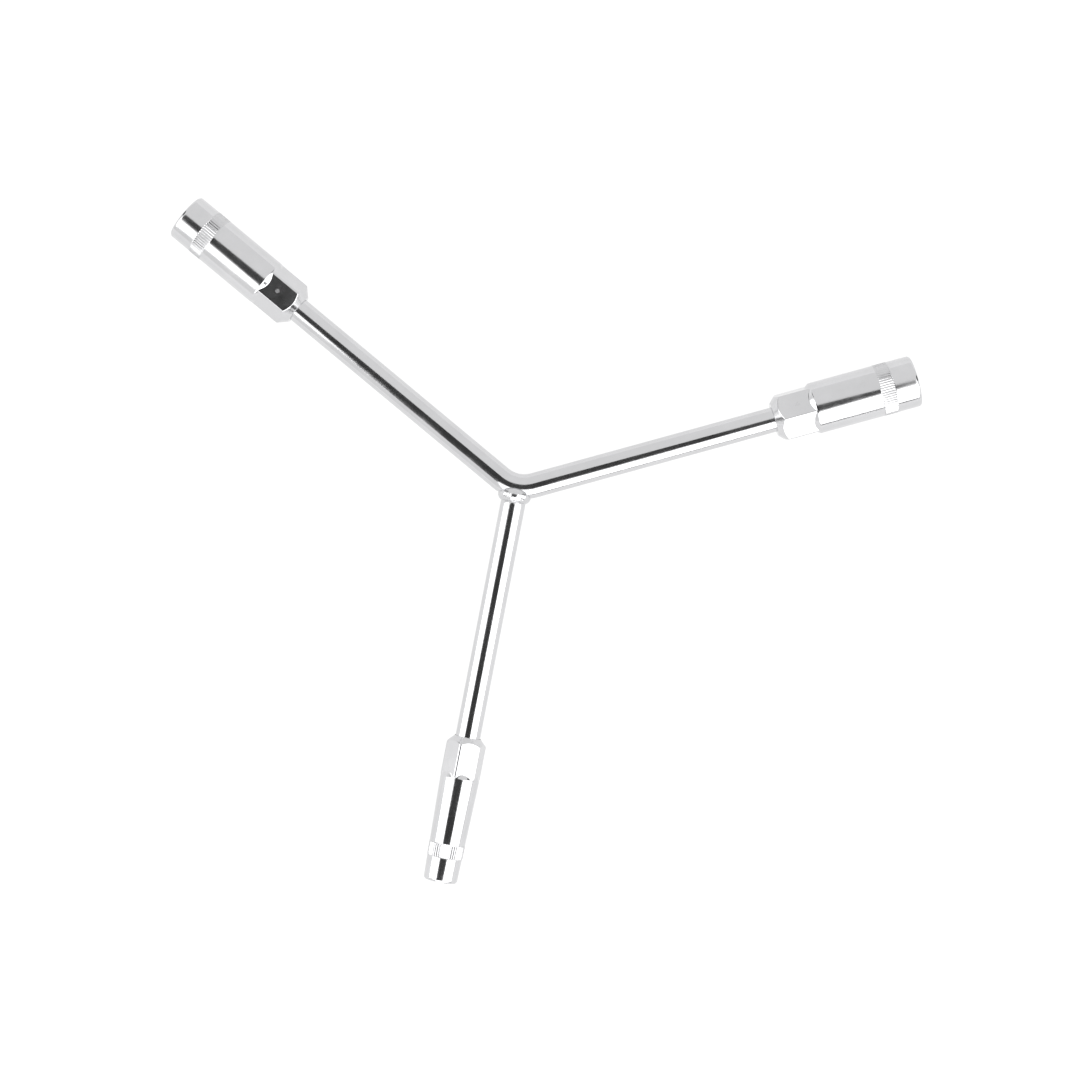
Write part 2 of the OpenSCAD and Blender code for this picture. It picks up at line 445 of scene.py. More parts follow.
def chrome_material(name, lines, colour, roughness, wave=PLATE_WAVE):
    """Bright plate over polished steel.

    Fine lines follow the surface, across or along the piece as lines says in (u, v) lines per
    metre; a slow wave bends the reflections a little; haze and small specks vary the roughness;
    the wear attribute dulls the edges.
    """
    material, tree, add = new_material(name)
    link = tree.links.new
    place = add("ShaderNodeTexCoord")
    surface = add("ShaderNodeUVMap", uv_map="surface")
    stretch = add("ShaderNodeMapping")
    stretch.inputs["Scale"].default_value = (*lines, 1)
    link(surface.outputs["UV"], stretch.inputs["Vector"])
    fine = add("ShaderNodeTexNoise", Scale=1.0, Detail=4.0, Roughness=0.6)
    link(stretch.outputs["Vector"], fine.inputs["Vector"])
    slow = add("ShaderNodeTexNoise", Scale=34.0, Detail=1.0)
    link(place.outputs["Object"], slow.inputs["Vector"])
    haze = add("ShaderNodeTexNoise", Scale=70.0, Detail=6.0, Roughness=0.62)
    link(place.outputs["Object"], haze.inputs["Vector"])
    specks = add("ShaderNodeTexVoronoi", Scale=420.0)
    link(place.outputs["Object"], specks.inputs["Vector"])
    pits = add("ShaderNodeMapRange")
    pits.inputs["From Min"].default_value = PIT_REACH
    pits.inputs["From Max"].default_value = 0.0
    link(specks.outputs["Distance"], pits.inputs["Value"])
    wear = add("ShaderNodeAttribute", attribute_name="wear")
    rubbed = add("ShaderNodeMath", operation="MULTIPLY")
    link(wear.outputs["Fac"], rubbed.inputs[0])
    link(haze.outputs["Fac"], rubbed.inputs[1])

    tone = add("ShaderNodeValToRGB")
    tone.color_ramp.elements[0].position = 0.3
    tone.color_ramp.elements[0].color = grey(colour, HAZE_TONES[0])
    tone.color_ramp.elements[1].position = 0.7
    tone.color_ramp.elements[1].color = grey(colour, HAZE_TONES[1])
    link(haze.outputs["Fac"], tone.inputs["Fac"])
    worn = add("ShaderNodeMix", data_type="RGBA")
    worn.inputs[MIX_SECOND].default_value = grey(colour, WORN_TONE)
    link(tone.outputs["Color"], worn.inputs[MIX_FIRST])
    link(rubbed.outputs["Value"], worn.inputs[MIX_FACTOR])

    polish = add("ShaderNodeMapRange")
    polish.inputs["From Min"].default_value = 0.35
    polish.inputs["From Max"].default_value = 0.75
    polish.inputs["To Min"].default_value = roughness
    polish.inputs["To Max"].default_value = roughness * HAZE_DULLS
    link(haze.outputs["Fac"], polish.inputs["Value"])
    dulled = add("ShaderNodeMath", operation="MULTIPLY_ADD")
    dulled.inputs[1].default_value = WEAR_DULLS
    link(rubbed.outputs["Value"], dulled.inputs[0])
    link(polish.outputs["Result"], dulled.inputs[2])
    pitted = add("ShaderNodeMath", operation="MULTIPLY_ADD", use_clamp=True)
    pitted.inputs[1].default_value = PITS_DULL
    link(pits.outputs["Result"], pitted.inputs[0])
    link(dulled.outputs["Value"], pitted.inputs[2])

    drawn = add("ShaderNodeBump", Strength=0.12, Distance=FINE_LINE_HEIGHT)
    link(fine.outputs["Fac"], drawn.inputs["Height"])
    bent = add("ShaderNodeBump", Strength=1.0, Distance=wave)
    link(slow.outputs["Fac"], bent.inputs["Height"])
    link(drawn.outputs["Normal"], bent.inputs["Normal"])

    steel = add("ShaderNodeBsdfPrincipled", Metallic=1.0)
    link(worn.outputs[MIX_RESULT], steel.inputs["Base Color"])
    link(pitted.outputs["Value"], steel.inputs["Roughness"])
    link(bent.outputs["Normal"], steel.inputs["Normal"])
    out = add("ShaderNodeOutputMaterial")
    link(steel.outputs["BSDF"], out.inputs["Surface"])
    return material


def dull_material(name, colour):
    """Thin grey plate over broached and drilled steel: cloudy, with tool lines along the hole."""
    material, tree, add = new_material(name)
    link = tree.links.new
    place = add("ShaderNodeTexCoord")
    surface = add("ShaderNodeUVMap", uv_map="surface")
    stretch = add("ShaderNodeMapping")
    stretch.inputs["Scale"].default_value = (*BROACH_LINES, 1)
    link(surface.outputs["UV"], stretch.inputs["Vector"])
    tool = add("ShaderNodeTexNoise", Scale=1.0, Detail=3.0)
    link(stretch.outputs["Vector"], tool.inputs["Vector"])
    cloud = add("ShaderNodeTexNoise", Scale=180.0, Detail=5.0)
    link(place.outputs["Object"], cloud.inputs["Vector"])
    tone = add("ShaderNodeValToRGB")
    tone.color_ramp.elements[0].position = 0.32
    tone.color_ramp.elements[0].color = grey(colour, CLOUD_TONES[0])
    tone.color_ramp.elements[1].position = 0.68
    tone.color_ramp.elements[1].color = grey(colour, CLOUD_TONES[1])
    link(cloud.outputs["Fac"], tone.inputs["Fac"])
    rough = add("ShaderNodeMapRange")
    rough.inputs["To Min"].default_value = TOOL_ROUGHNESS[0]
    rough.inputs["To Max"].default_value = TOOL_ROUGHNESS[1]
    link(tool.outputs["Fac"], rough.inputs["Value"])
    bump = add("ShaderNodeBump", Strength=0.5, Distance=TOOL_LINE_HEIGHT)
    link(tool.outputs["Fac"], bump.inputs["Height"])
    steel = add("ShaderNodeBsdfPrincipled", Metallic=1.0)
    link(tone.outputs["Color"], steel.inputs["Base Color"])
    link(rough.outputs["Result"], steel.inputs["Roughness"])
    link(bump.outputs["Normal"], steel.inputs["Normal"])
    out = add("ShaderNodeOutputMaterial")
    link(steel.outputs["BSDF"], out.inputs["Surface"])
    return material


def paper_material(name, colour, glow=0.0):
    """Matt studio sheet with a very faint tooth; glow lights it from behind."""
    material, tree, add = new_material(name)
    link = tree.links.new
    place = add("ShaderNodeTexCoord")
    tooth = add("ShaderNodeTexNoise", Scale=900.0, Detail=3.0)
    link(place.outputs["Object"], tooth.inputs["Vector"])
    tone = add("ShaderNodeValToRGB")
    tone.color_ramp.elements[0].color = grey(colour, 0.99)
    tone.color_ramp.elements[1].color = grey(colour, 1.01)
    link(tooth.outputs["Fac"], tone.inputs["Fac"])
    paper = add("ShaderNodeBsdfPrincipled", Roughness=0.9)
    link(tone.outputs["Color"], paper.inputs["Base Color"])
    paper.inputs["Emission Color"].default_value = (1, 1, 1, 1)
    paper.inputs["Emission Strength"].default_value = glow
    out = add("ShaderNodeOutputMaterial")
    link(paper.outputs["BSDF"], out.inputs["Surface"])
    return material


def once(maker, name, *settings):
    """The material of that name, made the first time it is asked for."""
    return bpy.data.materials.get(name) or maker(name, *settings)


def bar_chrome():
    """Plate on drawn bar, with polish lines along it."""
    finish = bpy.context.scene.wrench_finish
    return once(
        chrome_material, "bar_chrome", LENGTHWISE_LINES, finish.chrome, finish.roughness
    )


def socket_chrome():
    """Plate on turned sockets, with polish lines round them."""
    finish = bpy.context.scene.wrench_finish
    return once(
        chrome_material, "socket_chrome", TURNED_LINES, finish.chrome, finish.roughness
    )


def weld_chrome():
    """Plate on weld metal: the same plate with more wave in it."""
    finish = bpy.context.scene.wrench_finish
    roughness = finish.roughness * 1.5
    return once(chrome_material, "weld_chrome", WELD_LINES, finish.chrome, roughness, WELD_WAVE)


def pin_chrome():
    """Plate on the dressed end of a pin."""
    finish = bpy.context.scene.wrench_finish
    return once(chrome_material, "pin_chrome", PIN_LINES, finish.chrome, finish.roughness * 2)


def dull_plate():
    """Thin plate inside the sockets."""
    return once(dull_material, "dull_plate", bpy.context.scene.wrench_finish.dull)


# ---------------------------------------------------------------- bars

# The straight bar starts this far from the crossing, inside the bent bar.
BUTT_START = 1 * MM
RUN_STEP = 6 * MM
WELD_COLUMNS = 256
WELD_ROWS = 72
# How far the ripples lean, and the size and place of the slow swell that goes twice round the bead.
WELD_LEAN = 1.4
WELD_SWELL = 0.8
WELD_SWELL_START = 0.7
WELD_WEAR = 0.25


def tube(name, centres, ways, radius_in_plane, radius, around):
    """A round bar along a path that lies flat.

    Each ring is centre + in-plane radius x cos(turn) x (up x way) + radius x sin(turn) x up.
    """
    turn = np.linspace(0, 2 * math.pi, around, endpoint=False)[None, :, None]
    across = np.cross(UP, ways)[:, None, :]
    points = (
        centres[:, None, :]
        + radius_in_plane[:, None, None] * np.cos(turn) * across
        + radius * np.sin(turn) * UP
    )
    mesh = skin(name, points, arc_length(centres), math.pi * 2 * radius)
    add_values(mesh, "wear", np.zeros(points.shape[:2]))
    return mesh


def straight_run(start, end):
    """Points from start to end, about RUN_STEP apart, and their common direction."""
    count = max(2, int(round(np.linalg.norm(end - start) / RUN_STEP)))
    share = np.linspace(0, 1, count)[:, None]
    points = start + (end - start) * share
    return points, np.repeat([unit(end - start)], count, axis=0)


def bar_end(size):
    """Where a bar ends inside its socket."""
    seat_depth = SOCKET_LEN - bpy.context.scene.wrench_sockets.shank_length
    return ARMS[size]["mouth"] + ARMS[size]["inward"] * seat_depth


class WRENCH_OT_bent_bar(bpy.types.Operator):
    """Builds the bent bar that makes the left and the right arm"""

    bl_idname = "wrench.bent_bar"
    bl_label = "Bent bar"

    def execute(self, context):
        """The path is a line, an arc of the bend radius that touches both arms, and a line.

        Along the arc the in-plane radius is less by the flattening x the square of half a sine wave.
        """
        bars = context.scene.wrench_bars
        way_in, way_out = ARMS["17"]["inward"], -ARMS["19"]["inward"]
        bend = math.acos(np.clip(way_in @ way_out, -1, 1))
        tangent = bars.bend_radius * math.tan(bend / 2)
        start = CROSSING - way_in * tangent
        left = np.cross(UP, way_in)
        turn = np.linspace(0, bend, bars.bend_rows)[1:-1, None]
        hub = start + left * bars.bend_radius
        arc = hub + bars.bend_radius * (way_in * np.sin(turn) - left * np.cos(turn))
        arc_ways = way_in * np.cos(turn) + left * np.sin(turn)
        first, first_ways = straight_run(bar_end("17"), start)
        last, last_ways = straight_run(CROSSING + way_out * tangent, bar_end("19"))
        centres = np.vstack([first, arc, last])
        ways = np.vstack([first_ways, arc_ways, last_ways])
        squeeze = np.concatenate(
            [np.zeros(len(first)), np.sin(turn.ravel() / bend * math.pi) ** 2, np.zeros(len(last))]
        )
        radius = bars.diameter / 2
        in_plane = radius * (1 - bars.bend_flattening * squeeze)
        mesh = tube("bent_bar_plate", centres, ways, in_plane, radius, bars.around)
        finish_piece(mesh, ["bent_bar"], [bar_chrome()])
        return {"FINISHED"}


class WRENCH_OT_straight_bar(bpy.types.Operator):
    """Builds the straight bar that makes the third arm"""

    bl_idname = "wrench.straight_bar"
    bl_label = "Straight bar"

    def execute(self, context):
        """A round bar along one line, from inside the bent bar to its seat in the socket."""
        bars = context.scene.wrench_bars
        outward = -ARMS["12"]["inward"]
        butt = CROSSING + outward * BUTT_START
        centres, ways = straight_run(butt, bar_end("12"))
        radius = bars.diameter / 2
        in_plane = np.full(len(centres), radius)
        mesh = tube("straight_bar_plate", centres, ways, in_plane, radius, bars.around)
        finish_piece(mesh, ["straight_bar"], [bar_chrome()])
        return {"FINISHED"}


class WRENCH_OT_weld_collar(bpy.types.Operator):
    """Builds the collar of weld metal round the joint of the two bars"""

    bl_idname = "wrench.weld_collar"
    bl_label = "Weld collar"

    def execute(self, context):
        """The bead is a circle turned about the straight bar's line.

        The circle touches the collar's outside diameter at its middle and meets the bar's surface
        at both ends of its length. Its radius carries the ripples, a sine of the turn without its
        sign, and a slow swell.
        """
        weld = context.scene.wrench_weld
        bar_r = context.scene.wrench_bars.diameter / 2
        rise = weld.diameter / 2 - bar_r
        section = ((weld.length / 2) ** 2 + rise ** 2) / (2 * rise)
        outward = -ARMS["12"]["inward"]
        middle = (COLLAR_LOW + COLLAR_HIGH) / 2
        foot = CROSSING + outward * ((middle - CROSSING) @ outward)
        turn = np.linspace(0, 2 * math.pi, WELD_COLUMNS, endpoint=False)[None, :]
        # The section is walked backwards, so that its faces point out of the metal.
        round_section = np.linspace(2 * math.pi, 0, WELD_ROWS, endpoint=False)[:, None]
        lean = turn * weld.ripples + WELD_LEAN * np.sin(round_section)
        ripple = weld.ripple * (np.abs(np.sin(lean / 2)) - 0.5)
        ripple = ripple + weld.ripple * WELD_SWELL * np.sin(2 * turn + WELD_SWELL_START)
        reach = weld.diameter / 2 - section + (section + ripple) * np.cos(round_section)
        depth = (section + 0 * turn) * np.sin(round_section)
        side = np.cross(UP, outward)
        points = (
            foot
            + outward * depth[..., None]
            + reach[..., None] * (np.cos(turn)[..., None] * UP + np.sin(turn)[..., None] * side)
        )
        along = np.linspace(0, 2 * math.pi * section, len(points) + 1)
        mesh = skin("weld_collar_plate", points, along, math.pi * weld.diameter, close_rows=True)
        add_values(mesh, "wear", np.full(points.shape[:2], WELD_WEAR))
        finish_piece(mesh, ["weld_collar"], [weld_chrome()])
        return {"FINISHED"}


# ---------------------------------------------------------------- sockets

# Shares of the edge softness that turned and milled edges take.
TURNED_SHARE = 0.8
MILLED_SHARE = 0.7
# A barrel's radius at the mouth is its largest between these depths, which end short of the band.
MOUTH_MEASURE = (0.5 * MM, 2 * MM)
OUTSIDE_START = 1.8 * MM

DRILL_HALF_ANGLE = math.radians(59)
DRILL_POINT_SHARE = 0.02
LEAD_IN_SOFTNESS = 0.12 * MM
LEDGE_ROWS = 4

# A groove is rounded off at this share of its depth.
GROOVE_FLOOR = 0.94
GROOVE_SOFTNESS = 0.12
GROOVE_RUN_OUT = 0.45 * MM
SHALLOWEST_GROOVE = 1e-9

PIN_MARK_OFFSET = 0.15 * MM
PIN_MARK_DEPTH = 0.012 * MM
PIN_MARK_SPREAD = 0.2 * MM

# The shank's corners are turned down by a trim; its front is a cone that starts inside the barrel.
CORNER_TRIM = 0.08 * MM
CORNER_SOFTNESS = 0.3 * MM
FRONT_INSET = 0.1 * MM
FRONT_SLOPE = 0.6
# How far before the barrel's end the shank starts.
SHANK_START = 0.8 * MM

EDGE_WEAR = 0.8
EDGE_WEAR_SPREAD = 0.5 * MM
CORNER_WEAR = 0.8
CORNER_WEAR_FROM = 1.125
CORNER_WEAR_OVER = 0.02
CREST_WEAR = 0.6

FACE_ROWS = 5
FACE_CLEARANCE = 0.35 * MM
SEAT_CLEARANCE = 0.02 * MM
SEAT_RECESS = 0.3 * MM
SEAT_MIDDLE = 0.1 * MM
SEAT_SOFTNESS = 0.2 * MM

PIN_CROWN = 0.03 * MM
PIN_RECESS = 0.02 * MM
PIN_MIDDLE_SHARE = 0.02
PIN_ROWS = 12
PIN_COLUMNS = 64
PIN_WEAR = 0.4


def on_arm(arm, depth, radius, turn):
    """Points at a depth from the mouth, a distance from the axis and a turn from the pinned flat."""
    ring = np.cos(turn)[..., None] * arm["flat"] + np.sin(turn)[..., None] * arm["side"]
    return arm["mouth"] + depth[..., None] * arm["inward"] + radius[..., None] * ring


def opening_rows(size, shared, turn):
    """Depths and radii of the hole, from the drill point out to the mouth.

    The wall is the larger of the hexagon and the lead-in cone; behind the hexagon it is round.
    """
    hexagon = hexagon_radius(turn, float(size) * MM + shared.hexagon_play)
    corner = hexagon.max()
    stud = next(m for m in frame["record"]["mounts"] if m["name"] == "stud_bore_" + size)
    stud_r = stud["dims"]["r_mm"] * MM
    tip = shared.stud_depth + stud_r / math.tan(DRILL_HALF_ANGLE)
    corners = [
        (tip, DRILL_POINT_SHARE * stud_r),
        (shared.stud_depth, stud_r),
        (shared.hexagon_depth, stud_r),
    ]
    round_wall = soft_corners(corners, shared.edge_softness)
    round_rows = np.repeat(round_wall[:, 1:], turn.size, axis=1)
    share = np.linspace(0, 1, LEDGE_ROWS + 1)[1:, None]
    ledge = stud_r + (hexagon - stud_r) * share
    ledge_depth = np.full(len(share), shared.hexagon_depth)
    lead_in = corner - hexagon.min()
    wall_depth = spread((0, 0), (lead_in, 16), (lead_in + MM, 2), (shared.hexagon_depth, 6))
    wall_depth = wall_depth[-2::-1]
    cone = corner - wall_depth[:, None]
    wall = soft_max(np.broadcast_to(hexagon, (len(wall_depth), turn.size)), cone, LEAD_IN_SOFTNESS)
    depth = np.concatenate([round_wall[:, 0], ledge_depth, wall_depth])
    return depth, np.vstack([round_rows, ledge, wall])


def knurl(turn, depth, shared, teeth, crest_r):
    """How deep the grooves are: a triangle wave round the band that runs out at the band's edges.

    The run-out is the square root of the distance to the band's nearer edge.
    """
    full = math.pi * crest_r / teeth * math.tan(shared.groove_slope)
    wave = 1 - np.abs(((turn * teeth / (2 * math.pi)) % 1) * 2 - 1)
    wave = soft_min(wave, np.full_like(wave, GROOVE_FLOOR), GROOVE_SOFTNESS)
    inside = np.minimum(depth - shared.band_start, shared.band_start + shared.band_width - depth)
    run_out = np.clip(inside / GROOVE_RUN_OUT, 0, 1)
    return full * wave * np.sqrt(run_out)


def pin_mark(turn, depth, radius, arm):
    """A shallow ring round each pin end: a bell-shaped dip at the pin's edge."""
    ring_r = arm["pin_d"] / 2 + PIN_MARK_OFFSET
    across = radius * np.sin(turn)
    distance = np.hypot(depth - arm["pin_depth"], across)
    return PIN_MARK_DEPTH * np.exp(-(((distance - ring_r) / PIN_MARK_SPREAD) ** 2))


def outer_rows(size, shared, turn, teeth):
    """Depths, radii and wear of the outside, from behind the mouth's chamfer to the back face.

    The barrel is a cylinder or slow cone with the knurl cut into it; the shank is the smaller of
    the hexagon and its turned cones; where they meet the larger of the two shows.
    """
    arm = ARMS[size]
    soft = shared.edge_softness
    start = SOCKET_LEN - shared.shank_length
    mouth_r = turned_radius(size, *MOUTH_MEASURE)
    barrel_r = turned_radius(size, start - MM, start + 0.1 * MM)
    barrel_r = barrel_r if size == "12" else mouth_r
    corner_r = arm["shank_af"] / 2 * CORNER
    band_end = shared.band_start + shared.band_width
    back_r = max(arm["shank_af"] / 2 - shared.back_chamfer, BAR_D / 2 + shared.back_ring)
    depth = spread(
        (OUTSIDE_START, 0), (shared.band_start - 0.5 * MM, 3), (shared.band_start - 0.05 * MM, 2),
        (shared.band_start + 0.5 * MM, 8), (band_end - 0.5 * MM, 3), (band_end + 0.05 * MM, 8),
        (band_end + 0.5 * MM, 2), (start - MM, 8), (start - 0.4 * MM, 2),
        (start + shared.shoulder + 0.6 * MM, 30),
        (arm["pin_depth"] - 2.2 * MM, 2), (arm["pin_depth"] + 2.2 * MM, 20),
        (SOCKET_LEN - shared.back_chamfer - 2.4 * MM, 3), (SOCKET_LEN, 26),
    )[:, None]
    cone_share = np.clip(depth / start, 0, 1)
    barrel = mouth_r + (barrel_r - mouth_r) * cone_share
    past = depth - start
    shoulder = barrel_r - past * (barrel_r - arm["shank_af"] / 2) / shared.shoulder
    barrel = soft_min(barrel, shoulder, soft * TURNED_SHARE) + 0 * turn
    crest_r = mouth_r + (barrel_r - mouth_r) * (shared.band_start + shared.band_width / 2) / start
    grooves = knurl(turn, depth, shared, teeth, crest_r)
    hexagon = hexagon_radius(turn, arm["shank_af"]) + 0 * depth
    hexagon = soft_min(hexagon, np.full_like(hexagon, corner_r - CORNER_TRIM), CORNER_SOFTNESS)
    marks = pin_mark(turn, depth, arm["shank_af"] / 2, arm)
    back = back_r + (SOCKET_LEN - depth) + 0 * turn
    front = barrel_r - FRONT_INSET + past * FRONT_SLOPE + 0 * turn
    milled = soft * MILLED_SHARE
    shank = soft_min(soft_min(hexagon, back, milled), front, milled) - marks
    shown = np.where(depth < start - SHANK_START, 0, shank)
    radius = soft_max(barrel - grooves, shown, soft * TURNED_SHARE)
    from_edge = (depth - shared.mouth_chamfer_length) / EDGE_WEAR_SPREAD
    edge_near = EDGE_WEAR * np.exp(-from_edge ** 2)
    from_corner = hexagon - arm["shank_af"] / 2 * CORNER_WEAR_FROM
    corner_near = np.clip(from_corner / (CORNER_WEAR_OVER * arm["shank_af"]), 0, 1)
    deepest = max(grooves.max(), SHALLOWEST_GROOVE)
    crest_near = np.where(grooves > 0, CREST_WEAR * (1 - grooves / deepest), 0)
    wear = edge_near + np.where(shown > barrel, corner_near, 0) * CORNER_WEAR + crest_near
    return depth.ravel(), radius, np.clip(wear, 0, 1)


def socket_mesh(size, shared):
    """A whole socket as one closed skin: out along the hole, back along the outside, into the seat."""
    arm = ARMS[size]
    crest = turned_radius(size, shared.band_start - MM, shared.band_start + shared.band_width + MM)
    teeth = 6 * round(2 * math.pi * crest / shared.groove_pitch / 6)
    columns = teeth * shared.groove_columns
    turn = np.linspace(0, 2 * math.pi, columns, endpoint=False)[None, :]
    hole_depth, hole_r = opening_rows(size, shared, turn)
    out_depth, out_r, out_wear = outer_rows(size, shared, turn, teeth)
    mouth_r = turned_radius(size, *MOUTH_MEASURE)
    rim_corners = [
        (0, float(hole_r[-1].mean())),
        (0, mouth_r - shared.mouth_chamfer),
        (shared.mouth_chamfer_length, mouth_r),
        (out_depth[0], float(out_r[0].mean())),
    ]
    rim = soft_corners(rim_corners, shared.edge_softness * TURNED_SHARE)[1:-1]
    rim_depth, rim_r = rim[:, 0], np.repeat(rim[:, 1:], columns, axis=1)
    bar_r = bpy.context.scene.wrench_bars.diameter / 2
    seat_start = SOCKET_LEN - shared.shank_length
    share = np.linspace(0, 1, FACE_ROWS + 1)[1:, None]
    face_r = out_r[-1:] + (bar_r + FACE_CLEARANCE - out_r[-1:]) * share
    seat_corners = [
        (SOCKET_LEN - SEAT_RECESS, bar_r + SEAT_CLEARANCE),
        (seat_start, bar_r + SEAT_CLEARANCE),
        (seat_start, SEAT_MIDDLE),
    ]
    seat = soft_corners(seat_corners, SEAT_SOFTNESS, steps=4)
    seat_r = np.repeat(seat[:, 1:], columns, axis=1)
    depth = np.concatenate(
        [hole_depth, rim_depth, out_depth, np.full(len(share), SOCKET_LEN), seat[:, 0]]
    )
    radius = np.vstack([hole_r, rim_r, out_r, face_r, seat_r])
    before, after = len(hole_depth) + len(rim_depth), len(share) + len(seat)
    wear = np.vstack([np.zeros((before, columns)), out_wear, np.zeros((after, columns))])
    points = on_arm(arm, depth[:, None] + 0 * turn, radius, turn + 0 * depth[:, None])
    profile = np.column_stack([depth, radius.mean(axis=1)])
    # The hole takes the second material, the dull plate, and all the rest takes the first.
    part = np.zeros(len(depth), int)
    part[: len(hole_depth) - 1] = 1
    mesh = skin(
        "socket_" + size + "_plate", points, arc_length(profile), 2 * math.pi * crest, part=part
    )
    add_values(mesh, "wear", wear)
    return mesh


class WRENCH_OT_sockets(bpy.types.Operator):
    """Builds the three deep hexagon sockets"""

    bl_idname = "wrench.sockets"
    bl_label = "Sockets"

    def execute(self, context):
        for size in SIZES:
            mesh = socket_mesh(size, context.scene.wrench_sockets)
            finish_piece(mesh, ["socket_" + size], [socket_chrome(), dull_plate()])
        return {"FINISHED"}


class WRENCH_OT_pins(bpy.types.Operator):
    """Builds the three cross pins"""

    bl_idname = "wrench.pins"
    bl_label = "Pins"

    def execute(self, context):
        """Each pin is its radius turned about its line, with a low crown at both ends.

        The crown rises by one less the cube of the part of the radius, less the recess.
        """
        for size in SIZES:
            middle, direction, length, diameter = pin_line("pin_" + size)
            radius = diameter / 2
            part_out = np.linspace(PIN_MIDDLE_SHARE, 1, PIN_ROWS)
            end_r = radius * part_out
            end_rise = PIN_CROWN * (1 - part_out ** 3) - PIN_RECESS
            along = np.concatenate([-(length / 2 + end_rise), [0.0], (length / 2 + end_rise)[::-1]])
            ring_r = np.concatenate([end_r, [radius], end_r[::-1]])
            arm = {
                "mouth": middle,
                "inward": direction,
                "flat": ARMS[size]["inward"],
                "side": np.cross(direction, ARMS[size]["inward"]),
            }
            turn = np.linspace(0, 2 * math.pi, PIN_COLUMNS, endpoint=False)[None, :]
            grid = 0 * (along[:, None] + turn)
            points = on_arm(arm, along[:, None] + grid, ring_r[:, None] + grid, turn + grid)
            profile = np.column_stack([along, ring_r])
            mesh = skin("pin_" + size + "_end", points, arc_length(profile), math.pi * diameter)
            add_values(mesh, "wear", np.full(points.shape[:2], PIN_WEAR))
            finish_piece(mesh, ["pin_" + size], [pin_chrome()])
        return {"FINISHED"}


# ---------------------------------------------------------------- stage

# Name, angle clockwise from the camera's right, angle off straight up (degrees), width, height (m).
SOFTBOXES = (
    ("softbox_below", 85, 58, 2.0, 1.45),
    ("softbox_left", 174, 58, 1.3, 1.45),
    ("softbox_right", 20, 52, 1.3, 1.7),
)
SOFTBOX_DISTANCE = 1.5
FLOOR_HALF = 6.0
SENSOR_WIDTH = 36
HOOD_SIDES = 96
SKIRT_HALF = math.radians(35)
SKIRT_POINTS = 40
# A gap between facings counts as the bend's own where its cosine off the bend's line passes this.
BEND_GAP_COSINE = 0.95


def softbox(name, azimuth, polar, width, height, stage):
    """A rectangular light that faces the crossing, at an angle round it and one off straight up."""
    light = bpy.data.lights.new(name, "AREA")
    light.shape = "RECTANGLE"
    light.size, light.size_y = width, height
    light.energy = stage.softbox * math.pi * width * height
    lamp = bpy.data.objects.new(name, light)
    bpy.context.scene.collection.objects.link(lamp)
    flat = math.sin(polar)
    way = np.array([flat * math.cos(azimuth), flat * math.sin(azimuth), math.cos(polar)])
    lamp.location = CROSSING + way * SOFTBOX_DISTANCE
    lamp.rotation_euler = (polar, 0, azimuth + math.pi / 2)
    lamp.visible_camera = False


def card(name, outline, colour):
    """A matt card cut to an outline, out of the camera's sight; the plate shows its reflection."""
    mesh = bpy.data.meshes.new(name)
    mesh.from_pydata(outline.tolist(), [], [list(range(len(outline)))])
    mesh.materials.append(once(paper_material, name, colour))
    board = bpy.data.objects.new(name, mesh)
    bpy.context.scene.collection.objects.link(board)
    board.visible_camera = False


